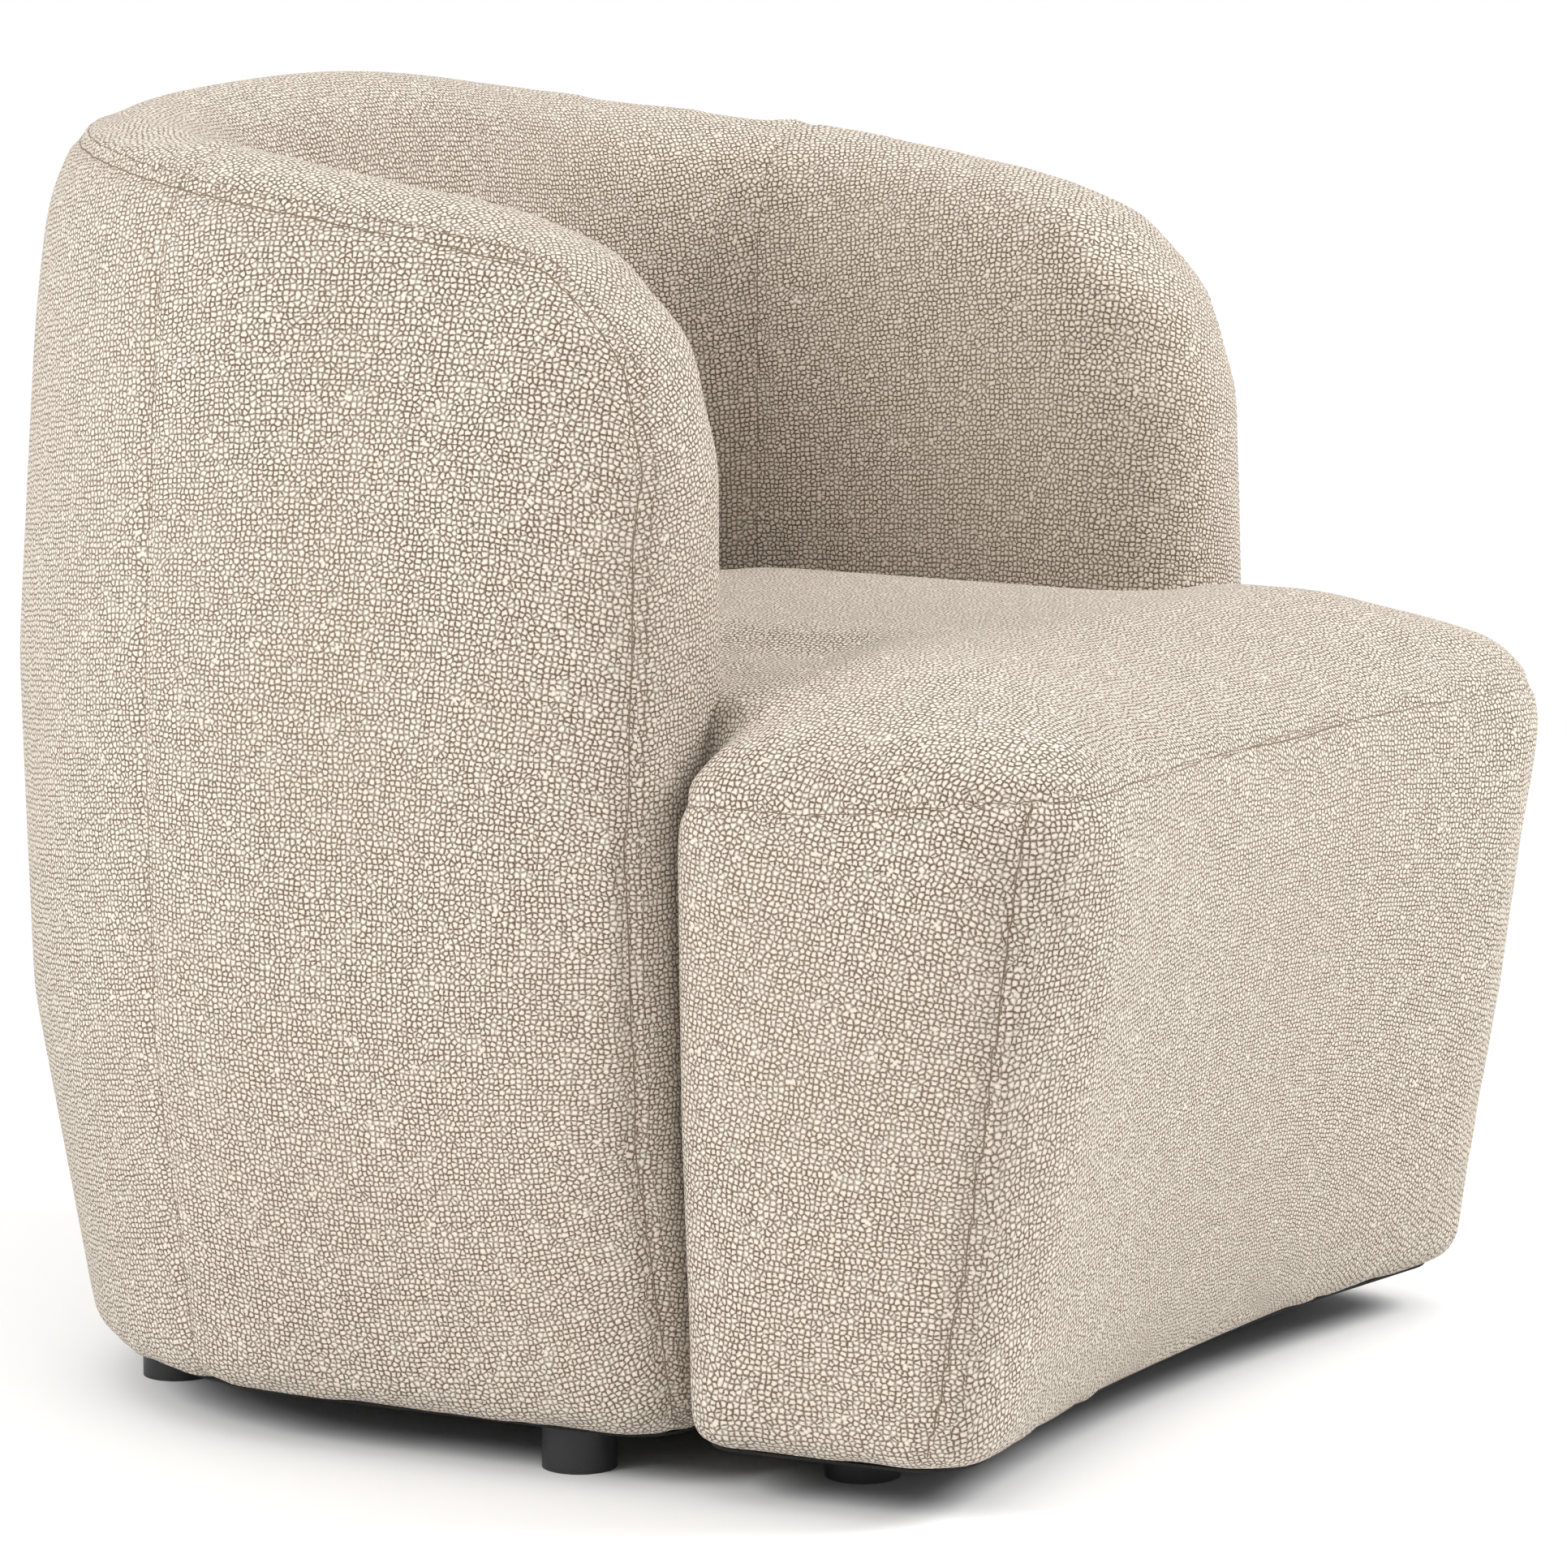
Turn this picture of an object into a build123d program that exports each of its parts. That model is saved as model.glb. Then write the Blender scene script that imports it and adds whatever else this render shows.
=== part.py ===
"""Upholstered tub armchair: a padded barrel shell of back and arms round a T-shaped seat block.

Millimetres. The front faces -Y and +Z is up. Left is -X and right is +X, as seen from the front.
The origin lies on the floor, under the centre of the chair.
"""

import os
from math import atan, cos, radians, sin, sqrt, tan

from build123d import *

os.makedirs("parts", exist_ok=True)

# Back and arm shell
floor_gap = 28
shell_width = 770
shell_depth = 506
shell_back_reach = 364
shell_thickness = 134
shell_corner_radius = 262
arm_toe_in = 5
arm_height = 644
back_height = 716
belly_height = 320
base_draw_in = 40
top_draw_in = 30
top_roll_radius = 54
base_edge_radius = 9
arm_front_radius = 50
arm_corner_radius = 112
roll_share = 0.46
nose_share = 0.44

# Seat block
seat_width = 684
seat_corner_reach = 371.8
seat_front_taper = 24
seat_edge_height = 410
seat_crown = 20
seat_front_draw_in = 62
seat_side_draw_in = 15
seat_roll_radius = 54
seat_lobe_radius = 70
seat_lobe_foot_radius = 34
seat_front_hollow = 42
seat_shoulder_radius = 22
seat_shoulder_top_radius = 14
seat_gap = 1
crown_share = 0.8
lobe_shrink = 0.7
lobe_share = 0.56
shoulder_share = 0.34
hollow_roundness = 0.6
seat_front_curve = 1.1

# Upholstery layers, from the outside in
cover_thickness = 3
outer_foam = 10
inner_foam = 28
roll_foam = 30
seat_foam = 100
seat_wall_foam = 12
lining_board = 3
felt_thickness = 4
hem_width = 16
dust_cloth = 1.5
dust_cloth_setback = 5

# Seams
outer_seam_inset = 17
back_seam_y = 150
foam_joint_y = 110
seat_seam_drop = 48
seat_front_seam_reach = 342
seam_clear = 2

# Plywood frame
ply = 18
frame_edge_radius = 10
middle_ring_height = 262
arm_rib_y = 40
corner_rib_angle = 45
back_rib_x = 90
lap_clearance = 0.2
seat_rib_x = 176
seat_wing_x = 250
seat_front_rail_y = -226
seat_back_rail_y = 120

# Seat springs
spring_count = 5
spring_spacing = 62
spring_wire = 3.6
spring_half_width = 21
spring_bends = 12
spring_corner = 8
clip_length = 14
clip_depth = 8
clip_height = 10

# Feet and fixings
foot_diameter = 40
arm_foot_setback = 80
rear_foot_angle = 52
front_foot_x = 228
front_foot_y = -200
foot_nail = 4
foot_nail_depth = 16
foot_nail_bite = 14
side_plate_y = 0
back_plate_x = 70
plate_length = 96
plate_width = 24
plate_thickness = 3
prong_width = 4
prong_thickness = 2
prong_length = 12
prong_inset = 9
prong_spacing = 12

arm_front_y = shell_back_reach - shell_depth
crest_back_y = shell_back_reach - top_draw_in - top_roll_radius
top_slope = (back_height - arm_height) / (crest_back_y - arm_front_y)
corner_centre_x = shell_width / 2 - shell_corner_radius
corner_centre_y = shell_back_reach - shell_corner_radius
toe_in = radians(arm_toe_in)
seat_shoulder_y = arm_front_y - seat_gap
seat_taper_slope = seat_front_taper / (seat_shoulder_y + seat_corner_reach)
seat_hollow_slope = seat_front_hollow / (seat_width / 2 - seat_front_taper)
hem_top = floor_gap + cover_thickness
frame_foot = hem_top + ply
frame_outer = cover_thickness + outer_foam
frame_inner = cover_thickness + inner_foam + lining_board
rib_middle = (frame_outer + shell_thickness - frame_inner) / 2
base_ring_outer = frame_outer + base_draw_in + frame_edge_radius
base_ring_middle = (base_ring_outer + shell_thickness - frame_inner + lining_board) / 2
seat_ring_edge = shell_thickness + seat_gap + cover_thickness + seat_wall_foam
ring_gap_middle = (seat_ring_edge + shell_thickness - frame_inner + lining_board) / 2
foot_height = floor_gap - dust_cloth
deck_top = seat_edge_height - cover_thickness - seat_foam - felt_thickness


def top_height(y):
    """Height of the shell's sloping top line."""
    return arm_height + top_slope * (y - arm_front_y)


def level_plane(height):
    """Plane across the shell at a height over the origin, tilting more and more up to the sloping top."""
    tilt = atan(top_slope * max(0, height - hem_top) / (top_height(0) - hem_top))
    return Plane(origin=(0, 0, height), x_dir=(1, 0, 0), z_dir=(0, -sin(tilt), cos(tilt)))


def rounding(radius, distance):
    """How far a rounded edge has come in, at a distance from its crest."""
    if distance >= radius:
        return 0
    return radius - sqrt(radius**2 - (radius - distance) ** 2)


def belly(height):
    """How far the shell's barrel side is drawn in at a height."""
    if height < belly_height:
        return base_draw_in * ((belly_height - height) / (belly_height - floor_gap)) ** 2
    return top_draw_in * ((height - belly_height) / (top_height(0) - belly_height)) ** 2


def rounded_face(plane, corners):
    """Face inside a closed run of (x, y, radius) corners."""
    with BuildSketch(plane) as face:
        with BuildLine():
            FilletPolyline(*[(x, y) for x, y, _ in corners], radius=[r for _, _, r in corners], close=True)
        make_face()
    return face.sketch


def arm_line(inset, tip_y):
    """Ends of an arm's side line, set in from the outer face: at the arm's front and at the back's line."""
    back_y = shell_back_reach - inset
    back_x = corner_centre_x + (shell_corner_radius - inset) * (1 + sin(toe_in)) / cos(toe_in)
    return (back_x - (back_y - tip_y) * tan(toe_in), tip_y), (back_x, back_y)


def shell_face(plane, outer, inner, front, nose):
    """Horseshoe plan of the shell on a plane, each side set in by its own amount."""
    stretch = 1 / plane.z_dir.Z
    right = []
    for inset, order in ((shell_thickness - inner, (1, 0)), (outer, (0, 1))):
        ends = arm_line(inset, arm_front_y + front)
        radii = (nose, shell_corner_radius - inset)
        right += [(ends[i][0], ends[i][1] * stretch, radii[i]) for i in order]
    left = [(-x, y, r) for x, y, r in reversed(right)]
    return rounded_face(plane, right + left)


def shell_form(outer=0, inner=0, top=0, front=0, base=0, base_edge=base_edge_radius, roll=top_roll_radius,
               nose=arm_front_radius):
    """Body of the back and arms, with its faces set in from the finished surface."""
    crest = top_height(0) - top
    foot = floor_gap + base
    shoulder = crest - arm_corner_radius
    roll_radius = min(roll, roll_share * (shell_thickness - outer - inner - top_draw_in))
    low_wall = foot + base_edge
    walls = [low_wall + share * (shoulder - low_wall) for share in (0, 0.33, 0.67)]
    rolls = [shoulder + arm_corner_radius * sin(radians(angle)) for angle in (0, 32, 60, 90)]
    sections = []
    for height in [foot] + walls + rolls:
        edge_in = rounding(base_edge, height - foot)
        roll_in = rounding(roll_radius, crest - height)
        outer_in = outer + belly(height) + edge_in + roll_in
        inner_in = inner + roll_in
        front_in = front + edge_in + rounding(arm_corner_radius, crest - height)
        nose_radius = min(nose, nose_share * (shell_thickness - outer_in - inner_in))
        sections.append(shell_face(level_plane(height), outer_in, inner_in, front_in, nose_radius))
    with BuildPart() as form:
        loft(sections, ruled=True)
    return form.part


def shell_underside(inset):
    """Plan of the shell's underside, set in from its edge."""
    outer_in = base_draw_in + base_edge_radius + inset
    nose_radius = nose_share * (shell_thickness - outer_in - inset)
    return shell_face(Plane.XY.offset(floor_gap), outer_in, inset, base_edge_radius + inset, nose_radius)


def inside_outer_seam():
    """Body inside the seam between the shell's outer panels and the rest of its cover."""
    crest = top_height(0)
    hem_inset = base_draw_in + base_edge_radius + hem_width + seam_clear
    levels = [(floor_gap - seam_clear, hem_inset), (hem_top + 1, hem_inset)]
    for share in (0, 0.25, 0.5, 0.75, 1, 1.2):
        height = floor_gap + base_edge_radius + share * (crest - floor_gap - base_edge_radius)
        levels.append((height, outer_seam_inset + belly(height)))
    sections = []
    for height, inset in levels:
        plane = level_plane(height)
        stretch = 1 / plane.z_dir.Z
        tip, corner = arm_line(inset, arm_front_y - shell_thickness)
        radius = shell_corner_radius - inset
        right = [(tip[0], tip[1] * stretch, seam_clear), (corner[0], corner[1] * stretch, radius)]
        left = [(-x, y, r) for x, y, r in reversed(right)]
        sections.append(rounded_face(plane, right + left))
    with BuildPart() as form:
        loft(sections, ruled=True)
    return form.part


def seat_face(height, side, front, tail, lobe, shoulder):
    """T-shaped plan of the seat block: a kidney front, shoulders at the arms and a tail between them."""
    shoulder_x = seat_width / 2 - side
    shoulder_y = seat_shoulder_y - tail
    front_y = front - seat_corner_reach
    front_x = shoulder_x - seat_taper_slope * (shoulder_y - front_y)
    hollow = seat_hollow_slope * front_x
    notch, tail_corner = arm_line(shell_thickness + seat_gap + tail, shoulder_y)
    tail_radius = shell_corner_radius - shell_thickness - seat_gap - tail
    lobe_radius = min(lobe, lobe_share * (shoulder_y - front_y))
    shoulder_radius = min(shoulder, shoulder_share * (shoulder_y - front_y))
    right = [(front_x, front_y, lobe_radius), (shoulder_x, shoulder_y, shoulder_radius)]
    right += [(*notch, 0), (*tail_corner, tail_radius)]
    left = [(-x, y, r) for x, y, r in reversed(right)]
    middle = [(0, front_y + hollow, hollow_roundness * front_x**2 / hollow)]
    return rounded_face(Plane.XY.offset(height), right + left + middle)


def seat_section(height, inset, foot, crest):
    """Plan of the seat block at a height, between its foot and the crest of its rounded edge."""
    shoulder = crest - seat_roll_radius
    fall = max(0, (shoulder - height) / (shoulder - foot))
    edge = rounding(base_edge_radius, height - foot)
    roll = rounding(seat_roll_radius, crest - height)
    lobe = seat_lobe_radius + (seat_lobe_foot_radius - seat_lobe_radius) * fall - lobe_shrink * roll
    shoulder_radius = max(seat_shoulder_top_radius, seat_shoulder_radius - roll)
    side = inset + seat_side_draw_in * fall**2 + edge + roll
    front = inset + seat_front_draw_in * fall**seat_front_curve + edge + roll
    return seat_face(height, side, front, inset + roll, lobe, shoulder_radius)


def seat_form(inset=0):
    """Body of the seat block, with its faces set in from the finished surface."""
    crest = seat_edge_height - inset
    foot = floor_gap + inset
    shoulder = crest - seat_roll_radius
    levels = [foot, foot + base_edge_radius, (foot + shoulder) / 2]
    levels += [shoulder + seat_roll_radius * sin(radians(angle)) for angle in (0, 30, 60, 90)]
    sections = [seat_section(height, inset, foot, crest) for height in levels]
    crown_height = crest + seat_crown - crown_share * crest
    sections.append(sections[-1].scale(crown_share).moved(Pos(0, 0, crown_height)))
    with BuildPart() as form:
        loft(sections, ruled=True)
    return form.part


def seat_frame_face(height):
    """Plan of the space for the seat's frame at a height, inside the foam on its walls."""
    return seat_section(height, cover_thickness + seat_wall_foam, hem_top, seat_edge_height - cover_thickness)


def on_arm(inset, side, y):
    """Upright place on an arm, set in from its outer face, with X pointing outwards."""
    x = arm_line(inset, y)[0][0]
    return Plane(origin=(side * x, y, 0), x_dir=(side * cos(toe_in), -sin(toe_in), 0), z_dir=(0, 0, 1))


def on_corner(inset, side, angle):
    """Upright place round a rear corner, set in from its outer face, with X pointing outwards."""
    reach = shell_corner_radius - inset
    across = cos(radians(angle))
    along = sin(radians(angle))
    origin = (side * (corner_centre_x + reach * across), corner_centre_y + reach * along, 0)
    return Plane(origin=origin, x_dir=(side * across, along, 0), z_dir=(0, 0, 1))


def on_back(inset, side, x):
    """Upright place on the back, set in from its outer face, with X pointing outwards."""
    return Plane(origin=(side * x, shell_back_reach - inset, 0), x_dir=(0, 1, 0), z_dir=(0, 0, 1))


def in_front_of(y):
    """Plane that keeps what lies in front of y."""
    return Plane(origin=(0, y, 0), z_dir=(0, -1, 0))


def behind(y):
    """Plane that keeps what lies behind y."""
    return Plane(origin=(0, y, 0), z_dir=(0, 1, 0))


def above(height):
    """Plane that keeps what lies above a height."""
    return Plane(origin=(0, 0, height), z_dir=(0, 0, 1))


def below(height):
    """Plane that keeps what lies below a height."""
    return Plane(origin=(0, 0, height), z_dir=(0, 0, -1))


def cut(body, *planes):
    """The piece of a body on the kept side of every plane."""
    with BuildPart() as piece:
        add(body)
        for plane in planes:
            split(bisect_by=plane, keep=Keep.TOP)
    return piece.part


def save(piece, name):
    """Name a finished piece and write it to its own file."""
    piece.part.label = name
    export_step(piece.part, f"parts/{name}.step")


SIDES = (
    ("left", -1, Plane(origin=(0, 0, 0), z_dir=(-1, 0, 0))),
    ("right", 1, Plane(origin=(0, 0, 0), z_dir=(1, 0, 0))),
)
ON_TOP = (Align.CENTER, Align.CENTER, Align.MIN)

# Surfaces of the upholstery: outside of the cover, outside of the foam, space for the frame
finished_shell = shell_form()
padded_shell = shell_form(*[cover_thickness] * 5)
shell_space = shell_form(
    outer=cover_thickness + outer_foam,
    inner=cover_thickness + inner_foam,
    top=cover_thickness + roll_foam,
    front=cover_thickness + roll_foam,
    base=cover_thickness,
    base_edge=frame_edge_radius,
    roll=frame_edge_radius,
    nose=0,
)
finished_seat = seat_form()
padded_seat = seat_form(cover_thickness)
with BuildPart() as seat_space:
    loft([seat_frame_face(height) for height in (hem_top, hem_top + base_edge_radius, deck_top)], ruled=True)
    extrude(seat_space.faces().sort_by(Axis.Z)[-1], amount=felt_thickness)

# Feet, each with a square nail moulded in that is driven up into a base ring
foot_places = {}
for side_name, side, _ in SIDES:
    foot_places[f"foot_arm_{side_name}"] = on_arm(base_ring_middle, side, arm_front_y + arm_foot_setback)
    foot_places[f"foot_rear_{side_name}"] = on_corner(base_ring_middle, side, rear_foot_angle)
    foot_places[f"foot_front_{side_name}"] = Plane(origin=(side * front_foot_x, front_foot_y, 0))
with BuildPart() as foot_nails:
    with Locations(*[place.offset(foot_height - foot_nail_depth) for place in foot_places.values()]):
        Box(foot_nail, foot_nail, hem_top + foot_nail_bite - foot_height + foot_nail_depth, align=ON_TOP)
save(foot_nails, "foot_nails")
for foot_name, place in foot_places.items():
    with BuildPart() as foot:
        with Locations(place):
            Cylinder(foot_diameter / 2, foot_height, align=ON_TOP)
        add(foot_nails.part, mode=Mode.SUBTRACT)
    save(foot, foot_name)

# Pronged plates, pressed into the base rings from below, that join the seat to the shell
plate_places = []
for _, side, _ in SIDES:
    plate_places.append(on_arm(ring_gap_middle, side, side_plate_y).offset(floor_gap))
    plate_places.append(on_back(ring_gap_middle, side, back_plate_x).offset(floor_gap))
with BuildPart() as joining_plates:
    for place in plate_places:
        with Locations(place):
            Box(plate_length, plate_width, plate_thickness, align=ON_TOP)
            with GridLocations(plate_length - 2 * prong_inset, prong_spacing, 2, 2):
                Box(prong_thickness, prong_width, plate_thickness + prong_length, align=ON_TOP)
save(joining_plates, "joining_plates")

# Cover of the shell: outer and inner panels that meet along the seam round the top and the arm fronts
shell_hem = shell_underside(hem_width)
with BuildPart() as shell_cover:
    add(finished_shell)
    add(padded_shell, mode=Mode.SUBTRACT)
    extrude(shell_hem, amount=cover_thickness + seam_clear, both=True, mode=Mode.SUBTRACT)
    add(joining_plates.part, mode=Mode.SUBTRACT)
outer_seam = inside_outer_seam()
with BuildPart() as outer_cover:
    add(shell_cover.part)
    add(outer_seam, mode=Mode.SUBTRACT)
with BuildPart() as inner_cover:
    add(shell_cover.part)
    add(outer_seam, mode=Mode.INTERSECT)
for cover, cover_name in ((outer_cover, "outer"), (inner_cover, "inner")):
    with BuildPart() as back_panel:
        add(cut(cover.part, behind(back_seam_y)))
    save(back_panel, f"shell_cover_{cover_name}_back")
    for side_name, _, side_plane in SIDES:
        with BuildPart() as arm_panel:
            add(cut(cover.part, in_front_of(back_seam_y), side_plane))
        save(arm_panel, f"shell_cover_{cover_name}_{side_name}")

# Foam of the shell
with BuildPart() as shell_foam:
    add(padded_shell)
    add(shell_space, mode=Mode.SUBTRACT)
with BuildPart() as back_foam:
    add(cut(shell_foam.part, behind(foam_joint_y)))
save(back_foam, "back_foam")
for side_name, _, side_plane in SIDES:
    with BuildPart() as arm_foam:
        add(cut(shell_foam.part, in_front_of(foam_joint_y), side_plane))
    save(arm_foam, f"arm_foam_{side_name}")

# Plywood frame of the shell: three rings, and ribs and hardboard linings between them
with BuildPart() as shell_base_ring:
    add(cut(shell_space, below(frame_foot)))
    add(foot_nails.part, mode=Mode.SUBTRACT)
    add(joining_plates.part, mode=Mode.SUBTRACT)
save(shell_base_ring, "shell_base_ring")

crest_plane = level_plane(top_height(0) - cover_thickness - roll_foam)
under_top_ring = Plane(origin=crest_plane.origin - crest_plane.z_dir * ply, z_dir=-crest_plane.z_dir)
with BuildPart() as shell_top_ring:
    add(cut(shell_space, Plane(origin=under_top_ring.origin, z_dir=crest_plane.z_dir)))
save(shell_top_ring, "shell_top_ring")

between_rings = cut(shell_space, above(frame_foot), under_top_ring)
lining_front = cover_thickness + roll_foam + ply
lining_outline = shell_face(
    Plane.XY.offset(frame_foot),
    outer=shell_thickness - frame_inner,
    inner=0,
    front=lining_front,
    nose=lap_clearance,
)
with BuildPart() as lining_room:
    extrude(lining_outline, amount=back_height)
with BuildPart() as lining:
    add(between_rings)
    add(lining_room.part, mode=Mode.INTERSECT)
with BuildPart() as rib_room:
    add(between_rings)
    add(lining_room.part, mode=Mode.SUBTRACT)
with BuildPart() as lining_back:
    add(cut(lining.part, behind(back_seam_y)))
save(lining_back, "lining_back")
for side_name, _, side_plane in SIDES:
    with BuildPart() as arm_lining:
        add(cut(lining.part, in_front_of(back_seam_y), side_plane))
    save(arm_lining, f"lining_{side_name}")

rib_places = {}
for side_name, side, _ in SIDES:
    rib_places[f"arm_rib_{side_name}"] = on_arm(rib_middle, side, arm_rib_y)
    rib_places[f"corner_rib_{side_name}"] = on_corner(rib_middle, side, corner_rib_angle)
    rib_places[f"back_rib_{side_name}"] = on_back(rib_middle, side, back_rib_x)
post_back_y = arm_front_y + lining_front
lap = ply + 2 * lap_clearance
with BuildPart() as shell_middle_ring:
    add(cut(rib_room.part, above(middle_ring_height), below(middle_ring_height + ply), behind(post_back_y)))
    with Locations(*[place.offset(middle_ring_height + ply / 2) for place in rib_places.values()]):
        Box(shell_thickness, lap, lap, align=(Align.MAX, Align.CENTER, Align.CENTER), mode=Mode.SUBTRACT)
save(shell_middle_ring, "shell_middle_ring")
for rib_name, place in rib_places.items():
    with BuildPart() as rib:
        with Locations(place):
            Box(shell_thickness, ply, back_height, align=ON_TOP)
        add(rib_room.part, mode=Mode.INTERSECT)
        with Locations(place.offset(middle_ring_height + ply / 2)):
            Box(shell_thickness, lap, lap, align=(Align.MIN, Align.CENTER, Align.CENTER), mode=Mode.SUBTRACT)
    save(rib, rib_name)
for side_name, _, side_plane in SIDES:
    with BuildPart() as arm_post:
        add(cut(rib_room.part, in_front_of(post_back_y), side_plane))
    save(arm_post, f"arm_post_{side_name}")

# Cover of the seat
seat_hem = seat_section(floor_gap, hem_width, floor_gap, seat_edge_height)
with BuildPart() as seat_cover:
    add(finished_seat)
    add(padded_seat, mode=Mode.SUBTRACT)
    extrude(seat_hem, amount=cover_thickness + seam_clear, both=True, mode=Mode.SUBTRACT)
    add(joining_plates.part, mode=Mode.SUBTRACT)
top_seam_height = seat_edge_height - seat_seam_drop
with BuildPart() as seat_cover_top:
    add(cut(seat_cover.part, above(top_seam_height)))
save(seat_cover_top, "seat_cover_top")
seat_walls = cut(seat_cover.part, below(top_seam_height))
front_lean = (seat_front_draw_in + base_edge_radius) / (top_seam_height - floor_gap)
front_seam = Plane(origin=(0, -seat_front_seam_reach, top_seam_height), z_dir=(0, -1, -front_lean))
with BuildPart() as seat_cover_front:
    add(cut(seat_walls, front_seam))
save(seat_cover_front, "seat_cover_front")
with BuildPart() as seat_cover_tail:
    add(cut(seat_walls, behind(seat_shoulder_y)))
save(seat_cover_tail, "seat_cover_tail")
for side_name, _, side_plane in SIDES:
    with BuildPart() as seat_side_panel:
        add(cut(seat_walls, -front_seam, in_front_of(seat_shoulder_y), side_plane))
    save(seat_side_panel, f"seat_cover_{side_name}")

# Foam of the seat
pad_top = deck_top + felt_thickness
with BuildPart() as seat_foam_block:
    add(cut(padded_seat, above(pad_top)))
save(seat_foam_block, "seat_foam")
with BuildPart() as seat_wall_padding:
    add(cut(padded_seat, below(pad_top)))
    add(seat_space.part, mode=Mode.SUBTRACT)
save(seat_wall_padding, "seat_wall_foam")
with BuildPart() as felt_pad:
    add(cut(seat_space.part, above(deck_top)))
save(felt_pad, "felt_pad")

# Plywood frame of the seat: a base ring, a deck ring, and ribs and rails that cross between them
opening_front = seat_front_rail_y + ply / 2
opening_back = seat_back_rail_y - ply / 2
with BuildPart() as seat_opening:
    with Locations((0, (opening_front + opening_back) / 2, 0)):
        Box(2 * seat_rib_x - ply, opening_back - opening_front, seat_edge_height, align=ON_TOP)
with BuildPart() as seat_base_ring:
    add(cut(seat_space.part, below(frame_foot)))
    add(seat_opening.part, mode=Mode.SUBTRACT)
    add(foot_nails.part, mode=Mode.SUBTRACT)
    add(joining_plates.part, mode=Mode.SUBTRACT)
save(seat_base_ring, "seat_base_ring")
deck_foot = deck_top - ply
with BuildPart() as seat_deck_ring:
    add(cut(seat_space.part, above(deck_foot), below(deck_top)))
    add(seat_opening.part, mode=Mode.SUBTRACT)
save(seat_deck_ring, "seat_deck_ring")

seat_rib_room = cut(seat_space.part, above(frame_foot), below(deck_foot))
lap_height = (frame_foot + deck_foot) / 2
rail_crossings = {
    "seat_front_rail": (seat_front_rail_y, (-seat_wing_x, -seat_rib_x, seat_rib_x, seat_wing_x)),
    "seat_back_rail": (seat_back_rail_y, (-seat_rib_x, seat_rib_x)),
}
for rail_name, (rail_y, crossings) in rail_crossings.items():
    with BuildPart() as rail:
        with Locations((0, rail_y, 0)):
            Box(shell_width, ply, deck_top, align=ON_TOP)
        add(seat_rib_room, mode=Mode.INTERSECT)
        with Locations(*[(x, rail_y, lap_height) for x in crossings]):
            Box(lap, lap, deck_top, align=ON_TOP, mode=Mode.SUBTRACT)
    save(rail, rail_name)
for side_name, side, _ in SIDES:
    for rib_name, rib_x in (("seat_rib", seat_rib_x), ("seat_wing", seat_wing_x)):
        with BuildPart() as seat_rib:
            with Locations((side * rib_x, 0, 0)):
                Box(ply, 2 * shell_width, deck_top, align=ON_TOP)
            add(seat_rib_room, mode=Mode.INTERSECT)
            with Locations(*[(side * rib_x, rail_y, lap_height) for rail_y, _ in rail_crossings.values()]):
                Box(lap, lap, deck_top, align=(Align.CENTER, Align.CENTER, Align.MAX), mode=Mode.SUBTRACT)
        save(seat_rib, f"{rib_name}_{side_name}")

# Zigzag springs across the seat opening, held by clips on the deck ring
first_bar_y = opening_front + clip_depth / 2
bar_step = (opening_back - opening_front - clip_depth) / spring_bends
wave = []
for bar in range(spring_bends + 1):
    turn = spring_half_width * (-1) ** bar
    straight = turn * (1 - spring_corner / spring_half_width)
    bar_y = first_bar_y + bar * bar_step
    wave += [(-straight, bar_y), (straight, bar_y)]
    if bar < spring_bends:
        wave += [(turn, bar_y + spring_corner), (turn, bar_y + bar_step - spring_corner)]
with BuildPart() as spring_blank:
    with BuildLine(Plane.XY.offset(deck_top - spring_wire / 2)) as spring_line:
        Polyline(*wave)
    with BuildSketch(Plane(origin=spring_line.line @ 0, z_dir=spring_line.line % 0)):
        Rectangle(spring_wire, spring_wire)
    sweep(transition=Transition.RIGHT)
spring_places = [(i - (spring_count - 1) / 2) * spring_spacing for i in range(spring_count)]
for number, spring_x in enumerate(spring_places, start=1):
    with BuildPart() as spring:
        add(spring_blank.part.moved(Pos(spring_x, 0, 0)))
    save(spring, f"seat_spring_{number}")
clip_places = [(x, y, deck_top) for x in spring_places for y in (first_bar_y, opening_back - clip_depth / 2)]
with BuildPart() as spring_clips:
    with Locations(*clip_places):
        Box(clip_length, clip_depth, clip_height, align=(Align.CENTER, Align.CENTER, Align.MAX))
        Box(clip_length, spring_wire + 2 * lap_clearance, spring_wire + lap_clearance,
            align=(Align.CENTER, Align.CENTER, Align.MAX), mode=Mode.SUBTRACT)
save(spring_clips, "spring_clips")

# Dust cloths over the undersides
undersides = {
    "shell_dust_cloth": shell_underside(dust_cloth_setback),
    "seat_dust_cloth": seat_section(floor_gap, dust_cloth_setback, floor_gap, seat_edge_height),
}
for cloth_name, underside in undersides.items():
    with BuildPart() as cloth:
        extrude(underside, amount=-dust_cloth)
        add(foot_nails.part, mode=Mode.SUBTRACT)
    save(cloth, cloth_name)
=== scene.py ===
"""Tub armchair in beige bouclé: soft covers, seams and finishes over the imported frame.

Metres. The front faces -Y and +Z is up.
"""

import bmesh
import bpy
import numpy as np
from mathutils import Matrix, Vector
from mathutils.bvhtree import BVHTree
from mathutils.kdtree import KDTree


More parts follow.
